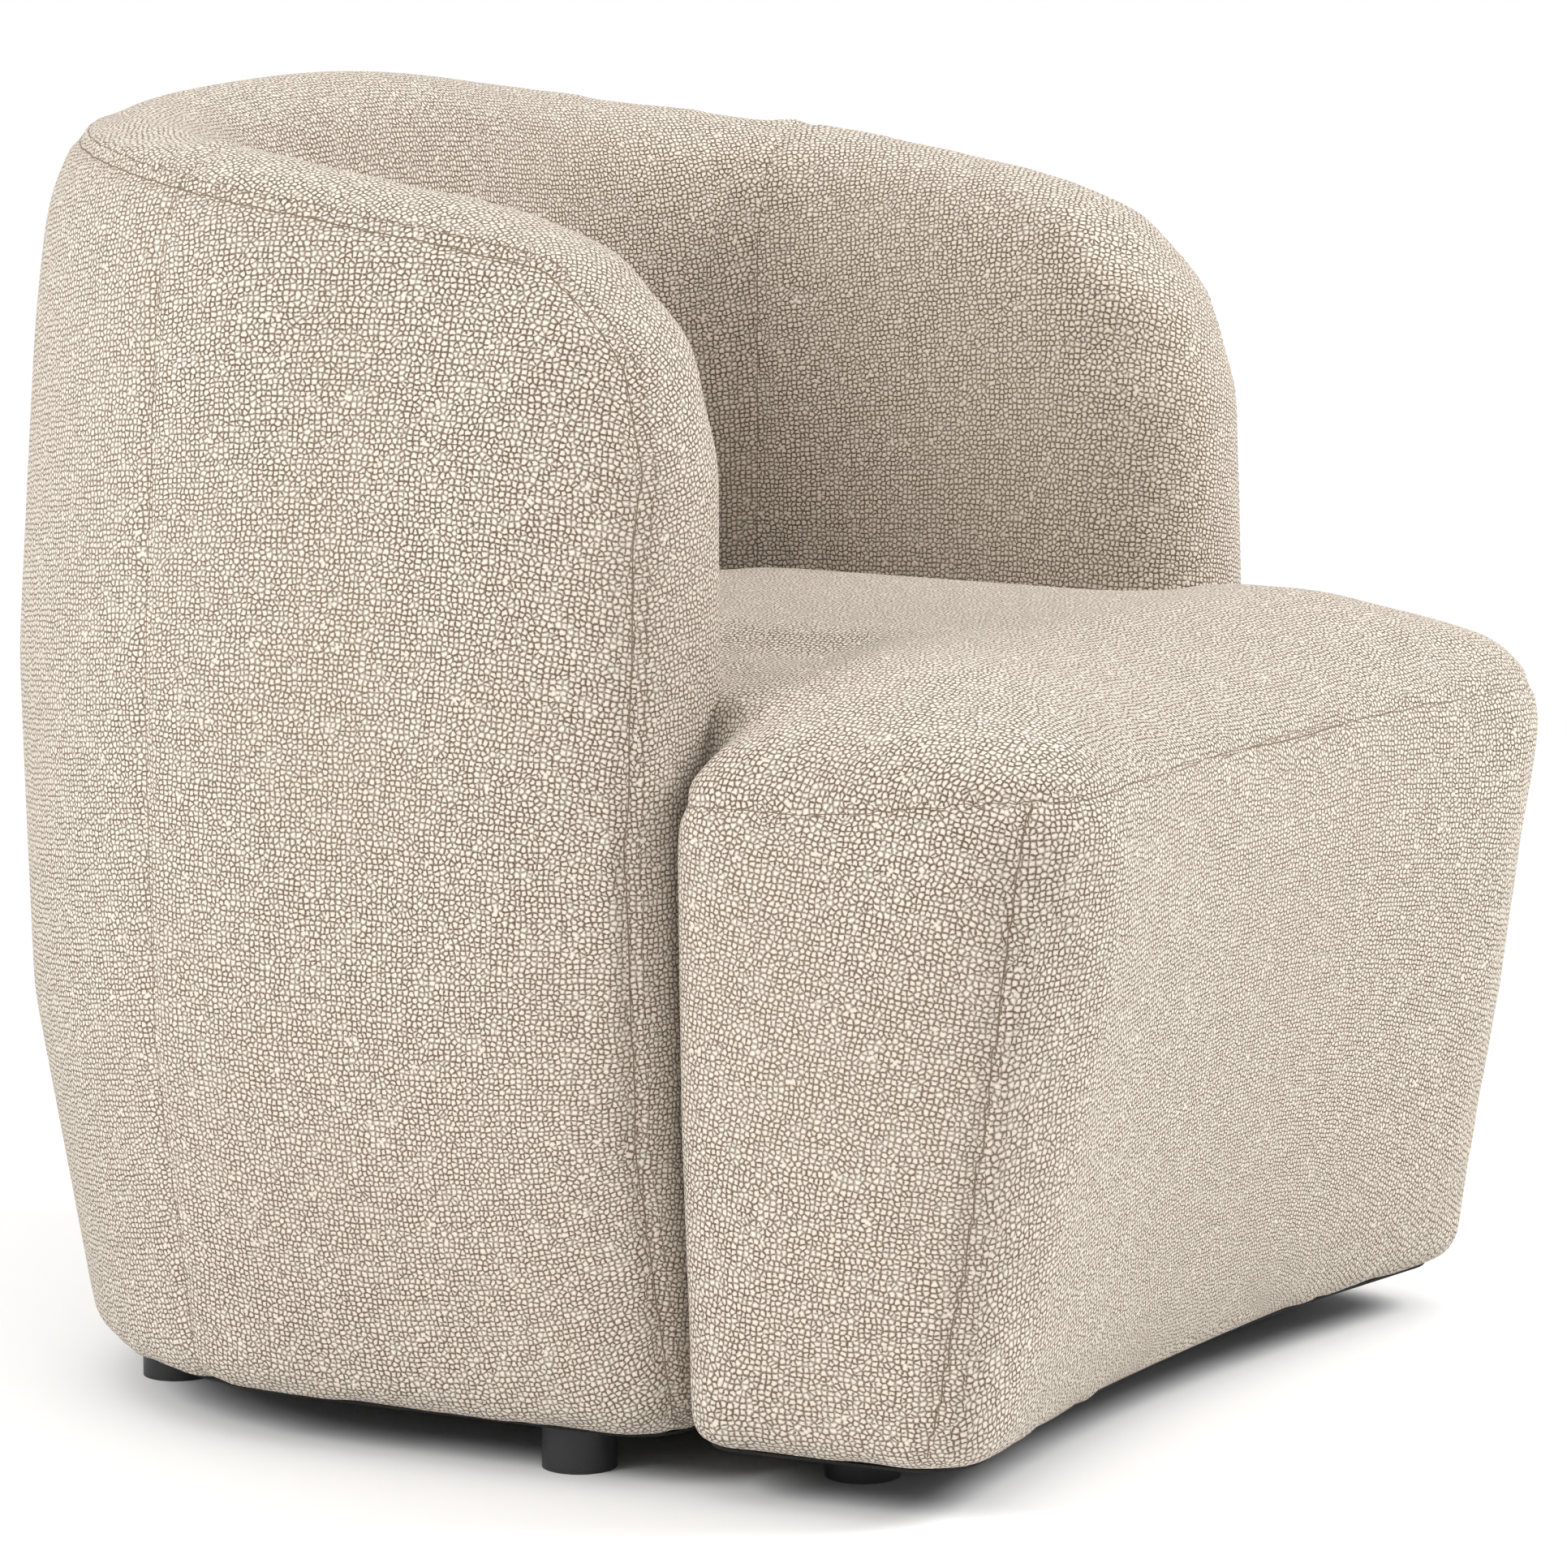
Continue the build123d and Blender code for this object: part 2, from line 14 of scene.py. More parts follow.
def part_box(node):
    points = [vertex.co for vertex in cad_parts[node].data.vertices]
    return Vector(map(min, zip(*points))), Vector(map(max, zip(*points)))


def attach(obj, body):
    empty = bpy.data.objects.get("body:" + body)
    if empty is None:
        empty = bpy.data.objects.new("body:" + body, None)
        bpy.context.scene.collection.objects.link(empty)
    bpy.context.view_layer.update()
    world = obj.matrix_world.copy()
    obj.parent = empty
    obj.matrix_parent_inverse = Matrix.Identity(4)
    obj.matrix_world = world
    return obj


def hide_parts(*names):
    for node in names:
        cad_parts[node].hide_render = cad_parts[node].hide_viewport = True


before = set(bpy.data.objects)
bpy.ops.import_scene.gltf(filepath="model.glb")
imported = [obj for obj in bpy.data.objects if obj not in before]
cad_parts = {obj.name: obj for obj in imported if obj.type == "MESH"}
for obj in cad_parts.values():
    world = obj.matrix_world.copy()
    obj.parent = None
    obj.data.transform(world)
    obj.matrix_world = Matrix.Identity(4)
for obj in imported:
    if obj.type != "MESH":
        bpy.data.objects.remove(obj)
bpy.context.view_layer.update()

MM = 0.001

# CAD nodes of the covers and the foam
SHELL_OUTER = ["shell_cover_outer_left", "shell_cover_outer_back", "shell_cover_outer_right"]
SHELL_INNER = ["shell_cover_inner_left", "shell_cover_inner_back", "shell_cover_inner_right"]
SHELL_COVER = SHELL_OUTER + SHELL_INNER
SHELL_FOAM = ["arm_foam_left", "back_foam", "arm_foam_right"]
SEAT_COVER = ["seat_cover_top", "seat_cover_front", "seat_cover_left", "seat_cover_right",
              "seat_cover_tail"]
SEAT_FOAM = ["seat_foam", "seat_wall_foam"]

COVER_THICKNESS = 3 * MM
BASE_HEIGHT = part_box("back_foam")[0].z

# Closeness of faces and edges in the CAD panels
HEM_CLEARANCE = 0.1 * MM
MERGE_REACH = 0.01 * MM
PANELS_TOUCH = 0.15 * MM
SAME_PLACE = 0.1 * MM
OUTSIDE_SHARE = 0.85

# Padding
FOAM_VOXEL = 5 * MM
VOXEL = 9 * MM
SMOOTH_FACTOR = 0.5
SMOOTH_ROUNDS = 9
LEAST_SMOOTHING = 0.1
CRISP_BASE = 14 * MM
SOFT_FROM = 60 * MM

# Swell of the covers
SWELL_CAP = 4 * MM
SWELL_FRAMES = 20
SWELL_QUALITY = 4
SWELL_PRESSURE = 4
NO_MOVE = 1e-9
HELD_NEAR_SEAM = 9 * MM
HELD_NEAR_NEIGHBOUR = 14 * MM
HELD_NEAR_BASE = 10 * MM

# Shell's rolled top, which the filling rounds, and the back's crowned middle
TOP_BAND = 95 * MM
TOP_ROUNDS = 26
TOP_FACES_UP = 0.97
TOP_FULL_SHARE = 0.95
FULL_BEHIND = 50 * MM
LIGHT_BEFORE = -80 * MM
LIGHT_SHARE = 0.3
BACK_CROWN = 14 * MM
BACK_CROWN_HALF = 260 * MM

# Stuffing that fills the seat's rolled edge up against the arms
TAIL_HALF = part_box("seat_cover_tail")[1].x
TAIL_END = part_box("seat_cover_tail")[1].y
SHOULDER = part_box("seat_cover_left")[1].y
STUFFING_FRONT = SHOULDER - 50 * MM
STUFFING_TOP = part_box("seat_cover_top")[1].z - 15 * MM
STUFFING_DEPTH = 90 * MM
SIDE_STUFFING = (TAIL_HALF - 95 * MM, TAIL_HALF + 10 * MM, STUFFING_FRONT, TAIL_END - 90 * MM,
                 STUFFING_TOP)
CORNER_STUFFING = (TAIL_HALF - 60 * MM, TAIL_HALF + 32 * MM, STUFFING_FRONT, SHOULDER + 28 * MM,
                   STUFFING_TOP - 2 * MM)
STUFFING_ROUNDS = 18
STUFFING_FADE = 60 * MM

# Seams
SEAM_STEP = 4 * MM
SEAM_DEPTH = 1.8 * MM
SEAM_WIDTH = 9 * MM
# Thickness of the dark cords that paint the shade in the seams' creases
SEAM_LINE = 0.5 * MM
FAINT_SEAM_LINE = 0.3 * MM
SEAM_SUNK = 0.4

# How far the filling moves the seams from the edges of the CAD panels
EDGE_SEAM_DROP = 15 * MM
EDGE_SEAM_FROM = 500 * MM
EDGE_SEAM_FADE = 80 * MM
SEAT_FRONT_FROM = -220 * MM
SEAT_FRONT_FADE = 120 * MM
FRONT_SEAM_RISE = 16 * MM
SHOULDER_SEAM_RISE = 3 * MM
SEAM_RISE_FROM = 280 * MM
SEAM_RISE_FADE = 60 * MM
FRONT_SEAM_FOOT = 32 * MM
SEAM_FOOT_BELOW = 360 * MM
SEAM_FOOT_FADE = 300 * MM

# Topstitch
TOPSTITCH_OFFSET = 7.5 * MM
STITCH_PITCH = 5.2 * MM
STITCH_LENGTH = 3.8 * MM
STITCH_THICKNESS = 1.1 * MM
STITCH_SUNK = 0.15

# Layout of the cloth
LAYOUT_ROUNDS = 3
LAYOUT_MARGIN = 0.001
PANEL_SPACING = 2.5
LEVEL_SPREAD = 30 * MM

# Bouclé
NUB_WIDTH = 3.2 * MM
NUB_ROW = 2.9 * MM
NUB_SCATTER = 0.68
NUB_EDGE = (0.0, 0.27)
NUB_ROUNDING = (0.3, 0.8)
NUB_LEAST = 0.4
WANDER_SCALE = 28.0
WANDER_REACH = 2.5 * MM
NOISE_MIDDLE = 0.5
FIBRE_SCALE = 1.9
FIBRE_FRAY = 0.42
FIBRE_SHARE = 0.18
SLUB_SCALE = 95.0
SLUB_SIZE = (0.06, 0.2)
SLUB_CHOICE = (0.72, 0.85)
TONE_SCALE = 5.0
TONE_RANGE = (0.35, 0.75)
TONE_SHARE = 0.14
# Pile heights over which the painted shade of the hollows gives way to cream
CREAM_RANGE = (0.08, 0.72)
PALE_RANGE = (0.35, 1.7)
PILE_HEIGHT = 1.6 * MM
PILE_BUMP = 0.8
# Painted shade: the colour of the hollows between the nubs
GAP_SHADE = (0.13, 0.088, 0.057, 1)
NUB_CREAM = (0.76, 0.67, 0.56, 1)
NUB_PALE = (0.87, 0.80, 0.70, 1)
NUB_SHADE = (0.52, 0.44, 0.35, 1)

# Grained finishes: name, dark and pale tone, grain per metre, roughness, metal
GRAIN_RANGE = (0.3, 0.7)
GRAIN_BUMP = 0.4
GRAIN_DEPTH = 0.1 * MM
# The thread's colour, which also paints the shade in the seams' creases on the seam cords
THREAD_AND_SEAM_SHADE = ("thread and seam shade", (0.12, 0.085, 0.055, 1), (0.28, 0.21, 0.145, 1), (900, 900, 900), 0.9, 0.0)
NODE_FINISHES = {
    "foam": ("foam", (0.72, 0.62, 0.30, 1), (0.85, 0.78, 0.48, 1), (900, 900, 900), 0.95, 0.0),
    "plywood": ("birch plywood", (0.50, 0.34, 0.18, 1), (0.72, 0.55, 0.34, 1), (25, 25, 700), 0.6, 0.0),
    "hardboard": ("hardboard", (0.16, 0.09, 0.05, 1), (0.27, 0.17, 0.10, 1), (600, 600, 600), 0.7, 0.0),
    "spring_steel": ("spring steel", (0.18, 0.18, 0.19, 1), (0.34, 0.34, 0.36, 1),
                     (300, 900, 300), 0.38, 1.0),
    "felt": ("grey felt", (0.20, 0.20, 0.21, 1), (0.36, 0.36, 0.37, 1), (700, 700, 700), 0.97, 0.0),
    "dust_cloth": ("black dust cloth", (0.006, 0.006, 0.007, 1), (0.02, 0.02, 0.022, 1),
                   (1400, 1400, 300), 0.9, 0.0),
    "feet": ("black plastic feet", (0.008, 0.008, 0.009, 1), (0.017, 0.017, 0.018, 1),
             (1500, 1500, 1500), 0.48, 0.0),
    "fixings": ("zinc plated steel", (0.40, 0.41, 0.43, 1), (0.62, 0.63, 0.66, 1),
                (400, 400, 400), 0.32, 1.0),
}

# Words in a CAD node's name that give its finish, of which the first match counts
NODE_KINDS = {
    "dust_cloth": ("dust_cloth",),
    "feet": ("foot_arm", "foot_rear", "foot_front"),
    "fixings": ("foot_nails", "joining_plates", "spring_clips"),
    "spring_steel": ("seat_spring",),
    "felt": ("felt_pad",),
    "hardboard": ("lining",),
    "boucle": ("cover",),
    "foam": ("foam",),
    "plywood": ("ring", "rib", "post", "wing", "rail"),
}

# Sockets of the Mix node where it blends colours
MIX_SHARE = 0
MIX_FIRST = 6
MIX_SECOND = 7
MIX_RESULT = 2

# Studio
WHITE = (1.0, 1.0, 1.0, 1)
SKY_LIGHT = 1.08
SKY_HORIZON = 0.15
SKY_FULL_FROM = 0.8
LAMPS = [
    ("key_lamp", (1.6, -2.6, 2.6), 1.8, 110),
    ("rim_lamp", (-2.6, 1.2, 1.9), 1.6, 62),
]
FLOOR_SIZE = 40
FLOOR_CLOUD = 0.6
FLOOR_GREY = (0.90, 0.90, 0.90, 1)
FLOOR_PALE = (0.93, 0.93, 0.93, 1)
FLOOR_FADE = (0.75, 1.5)

# Camera, from the photograph's outline
CAMERA_PLACE = Vector((-2.7695, -1.6781, 0.7724))
CAMERA_TARGET = Vector((0.0166, -0.0045, 0.3233))
CAMERA_LENS = 131.9
CAMERA_SENSOR = 36


class Nodes:
    """Short ways to add nodes to a material or to the world."""

    def __init__(self, tree):
        self.tree = tree

    def find(self, kind):
        """The first node of a kind."""
        return next(n for n in self.tree.nodes if n.type == kind)

    def feed(self, node, inputs):
        """Set a node's inputs to plain values, or link them to the outputs of other nodes."""
        for socket, value in inputs.items():
            if isinstance(value, bpy.types.NodeSocket):
                self.tree.links.new(value, node.inputs[socket])
            else:
                node.inputs[socket].default_value = value

    def add(self, kind, inputs=None, **settings):
        """A new node with its settings and inputs."""
        node = self.tree.nodes.new(kind)
        for name, value in settings.items():
            setattr(node, name, value)
        self.feed(node, inputs or {})
        return node

    def sums(self, operation, first, second):
        """Two values put together by a sum."""
        return self.add("ShaderNodeMath", {0: first, 1: second}, operation=operation).outputs[0]

    def blend(self, share, first, second):
        """Two colours blended by a share."""
        inputs = {MIX_SHARE: share, MIX_FIRST: first, MIX_SECOND: second}
        return self.add("ShaderNodeMix", inputs, data_type="RGBA").outputs[MIX_RESULT]

    def ramp(self, value, low, high):
        """A value stretched from a range to 0..1, eased at both ends."""
        inputs = {"Value": value, "From Min": low, "From Max": high}
        return self.add("ShaderNodeMapRange", inputs, interpolation_type="SMOOTHSTEP").outputs[0]

    def noise(self, place, scale, detail):
        """Noise over the flat layout of the cloth."""
        inputs = {"Vector": place, "Scale": scale, "Detail": detail}
        return self.add("ShaderNodeTexNoise", inputs, noise_dimensions="2D")

    def cells(self, place, scale, scatter, feature="F1"):
        """Scattered cells over the flat layout of the cloth."""
        inputs = {"Vector": place, "Scale": scale, "Randomness": scatter}
        return self.add("ShaderNodeTexVoronoi", inputs, voronoi_dimensions="2D", feature=feature)

    def bumped(self, height, strength, depth):
        """The surface's direction with a relief on it."""
        inputs = {"Height": height, "Strength": strength, "Distance": depth}
        return self.add("ShaderNodeBump", inputs).outputs[0]

    def seen(self):
        """1 for what the camera sees, mirrored and through glass too, and 0 for light on the chair."""
        path = self.add("ShaderNodeLightPath").outputs
        straight = self.sums("MAXIMUM", path["Is Camera Ray"], path["Is Glossy Ray"])
        return self.sums("MAXIMUM", straight, path["Is Transmission Ray"])


def new_finish(name):
    """A new material, its nodes and its surface node."""
    finish = bpy.data.materials.new(name)
    finish.use_nodes = True
    nodes = Nodes(finish.node_tree)
    return finish, nodes, nodes.find("BSDF_PRINCIPLED")


def nub_grid(nodes, cloth):
    """The cloth's layout counted in nubs and rows, which wander a little."""
    wander = nodes.noise(cloth, WANDER_SCALE, detail=1.0).outputs["Color"]
    moved = nodes.add("ShaderNodeVectorMath", {0: wander, "Scale": WANDER_REACH}, operation="SCALE")
    shifted = nodes.add("ShaderNodeVectorMath", {0: cloth, 1: moved.outputs[0]}, operation="ADD")
    split = nodes.add("ShaderNodeSeparateXYZ", {0: shifted.outputs[0]})
    across = nodes.sums("MULTIPLY", split.outputs[0], 1 / NUB_WIDTH)
    rows = nodes.sums("MULTIPLY", split.outputs[1], 1 / NUB_ROW)
    return nodes.add("ShaderNodeCombineXYZ", {0: across, 1: rows}).outputs[0]


def looped_pile(nodes, cloth, grid, nub):
    """Height of the pile: domed nubs with frayed edges, and slubs here and there."""
    gap = nodes.cells(grid, 1.0, NUB_SCATTER, "DISTANCE_TO_EDGE")
    fibre = nodes.noise(grid, FIBRE_SCALE, detail=3.0).outputs[0]
    frayed = nodes.sums("MULTIPLY", nodes.sums("SUBTRACT", fibre, NOISE_MIDDLE), FIBRE_FRAY)
    dome = nodes.ramp(nodes.sums("ADD", gap.outputs["Distance"], frayed), *NUB_EDGE)
    rounding = nodes.sums("SUBTRACT", 1.0, nodes.ramp(nub.outputs["Distance"], *NUB_ROUNDING))
    height = nodes.sums("ADD", NUB_LEAST, nodes.sums("MULTIPLY", rounding, 1 - NUB_LEAST))
    dome = nodes.sums("MULTIPLY", dome, height)
    slub_cell = nodes.cells(cloth, SLUB_SCALE, 1.0)
    slub = nodes.sums("SUBTRACT", 1.0, nodes.ramp(slub_cell.outputs["Distance"], *SLUB_SIZE))
    slub = nodes.sums("MULTIPLY", slub, nodes.ramp(slub_cell.outputs["Color"], *SLUB_CHOICE))
    loops = nodes.sums("MULTIPLY", nodes.sums("MAXIMUM", dome, slub), 1 - FIBRE_SHARE)
    return nodes.sums("ADD", loops, nodes.sums("MULTIPLY", fibre, FIBRE_SHARE))


def boucle():
    """Looped wool: packed cream nubs, some of them paler, with painted shade in the frayed gaps between
    them.
    """
    finish, nodes, surface = new_finish("boucle")
    cloth = nodes.add("ShaderNodeUVMap", uv_map="UVMap").outputs[0]
    grid = nub_grid(nodes, cloth)
    nub = nodes.cells(grid, 1.0, NUB_SCATTER)
    pile = looped_pile(nodes, cloth, grid, nub)
    tone = nodes.noise(cloth, TONE_SCALE, detail=3.0).outputs[0]
    # Painted shade: the lower the pile, the darker the colour, down to the shade of the gaps
    colour = nodes.blend(nodes.ramp(pile, *CREAM_RANGE), GAP_SHADE, NUB_CREAM)
    colour = nodes.blend(nodes.ramp(nub.outputs["Color"], *PALE_RANGE), colour, NUB_PALE)
    shade = nodes.sums("MULTIPLY", nodes.ramp(tone, *TONE_RANGE), TONE_SHARE)
    nodes.feed(surface, {
        "Base Color": nodes.blend(shade, colour, NUB_SHADE),
        "Normal": nodes.bumped(pile, PILE_BUMP, PILE_HEIGHT),
        "Roughness": 0.92,
        "Specular IOR Level": 0.2,
        "Sheen Weight": 0.18,
        "Sheen Roughness": 0.6,
    })
    return finish


def grained(name, dark, pale, grain, roughness, metal):
    """A finish with a fine stretched grain between two tones."""
    finish, nodes, surface = new_finish(name)
    place = nodes.add("ShaderNodeTexCoord").outputs["Object"]
    stretched = nodes.add("ShaderNodeMapping", {"Vector": place, "Scale": grain}).outputs[0]
    figure = nodes.add("ShaderNodeTexNoise", {"Vector": stretched, "Scale": 1.0, "Detail": 4.0}).outputs[0]
    nodes.feed(surface, {
        "Base Color": nodes.blend(nodes.ramp(figure, *GRAIN_RANGE), dark, pale),
        "Normal": nodes.bumped(figure, GRAIN_BUMP, GRAIN_DEPTH),
        "Roughness": roughness,
        "Metallic": metal,
    })
    return finish


boucle_cloth = boucle()
thread_and_seam_shade = grained(*THREAD_AND_SEAM_SHADE)


def finish_nodes():
    """Give every CAD node a finish, by the words in its name."""
    finishes = {kind: grained(*values) for kind, values in NODE_FINISHES.items()}
    finishes["boucle"] = boucle_cloth
    for name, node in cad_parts.items():
        kind = next(k for k, words in NODE_KINDS.items() if any(w in name for w in words))
        node.data.materials.clear()
        node.data.materials.append(finishes[kind])


def deselect_all():
    """Leave edit mode and select nothing."""
    if bpy.context.object and bpy.context.object.mode != "OBJECT":
        bpy.ops.object.mode_set(mode="OBJECT")
    bpy.ops.object.select_all(action="DESELECT")


def work_on(piece):
    """Make a piece the only selected and the active one."""
    deselect_all()
    piece.select_set(True)
    bpy.context.view_layer.objects.active = piece


def joined(pieces):
    """Pieces joined into the first of them."""
    deselect_all()
    for piece in pieces:
        piece.select_set(True)
    bpy.context.view_layer.objects.active = pieces[0]
    bpy.ops.object.join()
    return pieces[0]


def apply_modifier(piece, kind, **settings):
    """Add a modifier with its settings and apply it."""
    work_on(piece)
    modifier = piece.modifiers.new(kind.title(), kind)
    for name, value in settings.items():
        setattr(modifier, name, value)
    bpy.ops.object.modifier_apply(modifier=modifier.name)


def even_quads(piece, size):
    """Rebuild a piece as one closed skin of even quads."""
    work_on(piece)
    piece.data.remesh_voxel_size = size
    bpy.ops.object.voxel_remesh()


def smooth_by(piece, weights, rounds):
    """Smooth a piece, each vertex by its own weight."""
    group = piece.vertex_groups.new(name="smoothed")
    for index, weight in enumerate(weights):
        group.add([index], weight, "REPLACE")
    apply_modifier(piece, "SMOOTH", factor=SMOOTH_FACTOR, iterations=rounds, vertex_group=group.name)
    piece.vertex_groups.clear()


def eased(share):
    """A share held within 0..1 and eased at both ends."""
    share = np.clip(share, 0, 1)
    return share * share * (3 - 2 * share)


def points_of(piece):
    """Vertex places of a piece, as an array."""
    places = np.empty(len(piece.data.vertices) * 3)
    piece.data.vertices.foreach_get("co", places)
    return places.reshape(-1, 3)


def normals_of(piece):
    """Vertex normals of a piece, as an array."""
    normals = np.empty(len(piece.data.vertices) * 3)
    piece.data.vertices.foreach_get("normal", normals)
    return normals.reshape(-1, 3)


def move_points(piece, places):
    """Put a piece's vertices in new places."""
    piece.data.vertices.foreach_set("co", places.ravel())
    piece.data.update()


def tree_of(points):
    """Search tree over points."""
    tree = KDTree(len(points))
    for index, point in enumerate(points):
        tree.insert(point, index)
    tree.balance()
    return tree


def skin_of(piece):
    """Search tree over a piece's faces."""
    return BVHTree.FromObject(piece, bpy.context.evaluated_depsgraph_get())


def surface_of(nodes):
    """Search tree over the CAD nodes' faces above the hem, and the node that each face belongs to."""
    corners = []
    faces = []
    owners = []
    for index, node in enumerate(nodes):
        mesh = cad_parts[node].data
        start = len(corners)
        corners.extend(v.co.copy() for v in mesh.vertices)
        for face in mesh.polygons:
            if max(mesh.vertices[i].co.z for i in face.vertices) > BASE_HEIGHT + HEM_CLEARANCE:
                faces.append([start + i for i in face.vertices])
                owners.append(index)
    return BVHTree.FromPolygons(corners, faces), owners


def seam_runs(nodes_a, nodes_b, foam_surface):
    """Runs of seam: outside edges of one group of panels that also lie on the other group."""
    other_surface, _ = surface_of(nodes_b)
    outside = OUTSIDE_SHARE * COVER_THICKNESS
    runs = []
    for node in nodes_a:
        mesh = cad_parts[node].data
        for edge in mesh.edges:
            a, b = (mesh.vertices[i].co.copy() for i in edge.vertices)
            spots = (a, (a + b) / 2, b)
            on_other = all(other_surface.find_nearest(p)[3] < PANELS_TOUCH for p in spots)
            if on_other and all(foam_surface.find_nearest(p)[3] > outside for p in spots):
                runs.append((a, b))
    return runs


def chained(runs):
    """Seam runs joined end to end into unbroken lines."""
    def key(place):
        return tuple(round(c / SAME_PLACE) for c in place)

    places = {}
    next_to = {}
    for a, b in runs:
        ends = key(a), key(b)
        if ends[0] == ends[1]:
            continue
        places[ends[0]] = a
        places[ends[1]] = b
        next_to.setdefault(ends[0], set()).add(ends[1])
        next_to.setdefault(ends[1], set()).add(ends[0])
    lines = []
    while next_to:
        spot = min(next_to, key=lambda k: (len(next_to[k]), k))
        line = [places[spot]]
        while spot in next_to:
            follower = min(next_to[spot])
            for here, there in ((spot, follower), (follower, spot)):
                next_to[here].discard(there)
                if not next_to[here]:
                    del next_to[here]
            spot = follower
            line.append(places[spot])
        lines.append(line)
    return lines


def spaced(line, step):
    """Points at an even step along a line."""
    corners = np.array([tuple(p) for p in line])
    reach = np.r_[0, np.cumsum(np.linalg.norm(np.diff(corners, axis=0), axis=1))]
    count = max(2, round(reach[-1] / step) + 1)
    marks = np.linspace(0, reach[-1], count)
    return [Vector([np.interp(m, reach, corners[:, i]) for i in range(3)]) for m in marks]


def seams_between(group_a, group_b, foam_surface, seam_shift):
    """Evenly spaced lines along the seams between two groups of panels, where the filling leaves them."""
    lines = [spaced(line, SEAM_STEP) for line in chained(seam_runs(group_a, group_b, foam_surface))]
    return [[point + seam_shift(point) for point in line] for line in lines]


def shell_seam_shift(place):
    """How far the filling pushes a shell seam down from the edge of its CAD panel."""
    return Vector((0, 0, -EDGE_SEAM_DROP * eased((place.z - EDGE_SEAM_FROM) / EDGE_SEAM_FADE)))


def seat_seam_shift(place):
    """How far a seat seam climbs, more so at the front, and steps forward at its foot."""
    front = eased((SEAT_FRONT_FROM - place.y) / SEAT_FRONT_FADE)
    rise = front * FRONT_SEAM_RISE + (1 - front) * SHOULDER_SEAM_RISE
    foot = -FRONT_SEAM_FOOT * front * eased((SEAM_FOOT_BELOW - place.z) / SEAM_FOOT_FADE)
    return Vector((0, foot, rise * eased((place.z - SEAM_RISE_FROM) / SEAM_RISE_FADE)))


def shell_seams():
    """The shell's edge seam, and the upright seams at its corners."""
    foam_surface, _ = surface_of(SHELL_FOAM)
    edge = seams_between(SHELL_OUTER, SHELL_INNER, foam_surface, shell_seam_shift)
    corners = []
    for left, back, right in (SHELL_OUTER, SHELL_INNER):
        corners += seams_between([back], [left, right], foam_surface, shell_seam_shift)
    return edge, corners


def seat_seams():
    """The seam round the seat's top, and the upright seams below it."""
    foam_surface, _ = surface_of(SEAT_FOAM)
    top, front, left, right, tail = SEAT_COVER
    rim = seams_between([top], [front, left, right, tail], foam_surface, seat_seam_shift)
    uprights = []
    for panel in (front, tail):
        uprights += seams_between([panel], [left, right], foam_surface, seat_seam_shift)
    return rim, uprights


def onto(piece, lines, sunk=0.0):
    """Lines laid onto the surface of a piece, or sunk a little under it."""
    skin = skin_of(piece)
    laid = []
    for line in lines:
        hits = [skin.find_nearest(point) for point in line]
        laid.append([place - normal * sunk for place, normal, _, _ in hits])
    return laid


def merged_copy(name, node):
    """A new piece copied from a CAD node, with its loose triangles merged."""
    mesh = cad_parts[node].data.copy()
    mesh.materials.clear()
    piece = bpy.data.objects.new(name, mesh)
    bpy.context.scene.collection.objects.link(piece)
    work_on(piece)
    bpy.ops.object.mode_set(mode="EDIT")
    bpy.ops.mesh.select_all(action="SELECT")
    bpy.ops.mesh.remove_doubles(threshold=MERGE_REACH)
    bpy.ops.object.mode_set(mode="OBJECT")
    return piece


def clear_inside(piece, cover_surface):
    """Delete the faces that line the frame space, and those at the base."""
    bpy.ops.object.mode_set(mode="EDIT")
    bpy.ops.mesh.select_mode(type="FACE")
    bpy.ops.mesh.select_all(action="DESELECT")
    bpy.ops.object.mode_set(mode="OBJECT")
    for face in piece.data.polygons:
        middle = Vector(face.center)
        inside = cover_surface.find_nearest(middle)[3] > FOAM_VOXEL
        face.select = inside or middle.z < BASE_HEIGHT + FOAM_VOXEL
    bpy.ops.object.mode_set(mode="EDIT")
    bpy.ops.mesh.delete(type="FACE")
    bpy.ops.object.mode_set(mode="OBJECT")


def close_base():
    """Draw the open lower edge down to the base, and close it with a face."""
    bpy.ops.object.mode_set(mode="EDIT")
    bpy.ops.mesh.select_mode(type="EDGE")
    bpy.ops.mesh.select_all(action="DESELECT")
    bpy.ops.mesh.select_non_manifold(extend=False)
    bpy.ops.mesh.extrude_region_move()
    bpy.ops.transform.resize(value=(1, 1, 0), center_override=(0, 0, BASE_HEIGHT))
    bpy.ops.mesh.edge_face_add()
    bpy.ops.object.mode_set(mode="OBJECT")


def full_form(name, nodes, cover_surface):
    """The foam's outside as one closed form, with the frame space inside it filled."""
    piece = joined([merged_copy(name, node) for node in nodes])
    even_quads(piece, FOAM_VOXEL)
    clear_inside(piece, cover_surface)
    close_base()
    even_quads(piece, VOXEL)
    return piece


def round_top(piece):
    """Round the shell's top into a full roll, with the middle of the back crowned."""
    places = points_of(piece)
    flat = normals_of(piece)[:, 2] > TOP_FACES_UP
    slope, level = np.polyfit(places[flat, 1], places[flat, 2], 1)
    below_top = level + slope * places[:, 1] - places[:, 2]
    behind = eased((places[:, 1] - LIGHT_BEFORE) / (FULL_BEHIND - LIGHT_BEFORE))
    share = eased(1 - below_top / TOP_BAND) * (LIGHT_SHARE + (1 - LIGHT_SHARE) * behind)
    smooth_by(piece, share, TOP_ROUNDS)
    rounded = points_of(piece)
    lost = (places - rounded)[flat & (share > TOP_FULL_SHARE), 2].mean()
    middle = np.clip(np.abs(places[:, 0]) / BACK_CROWN_HALF, 0, 1)
    rounded[:, 2] += share * (lost + BACK_CROWN * np.cos(middle * np.pi / 2) ** 2)
    move_points(piece, rounded)


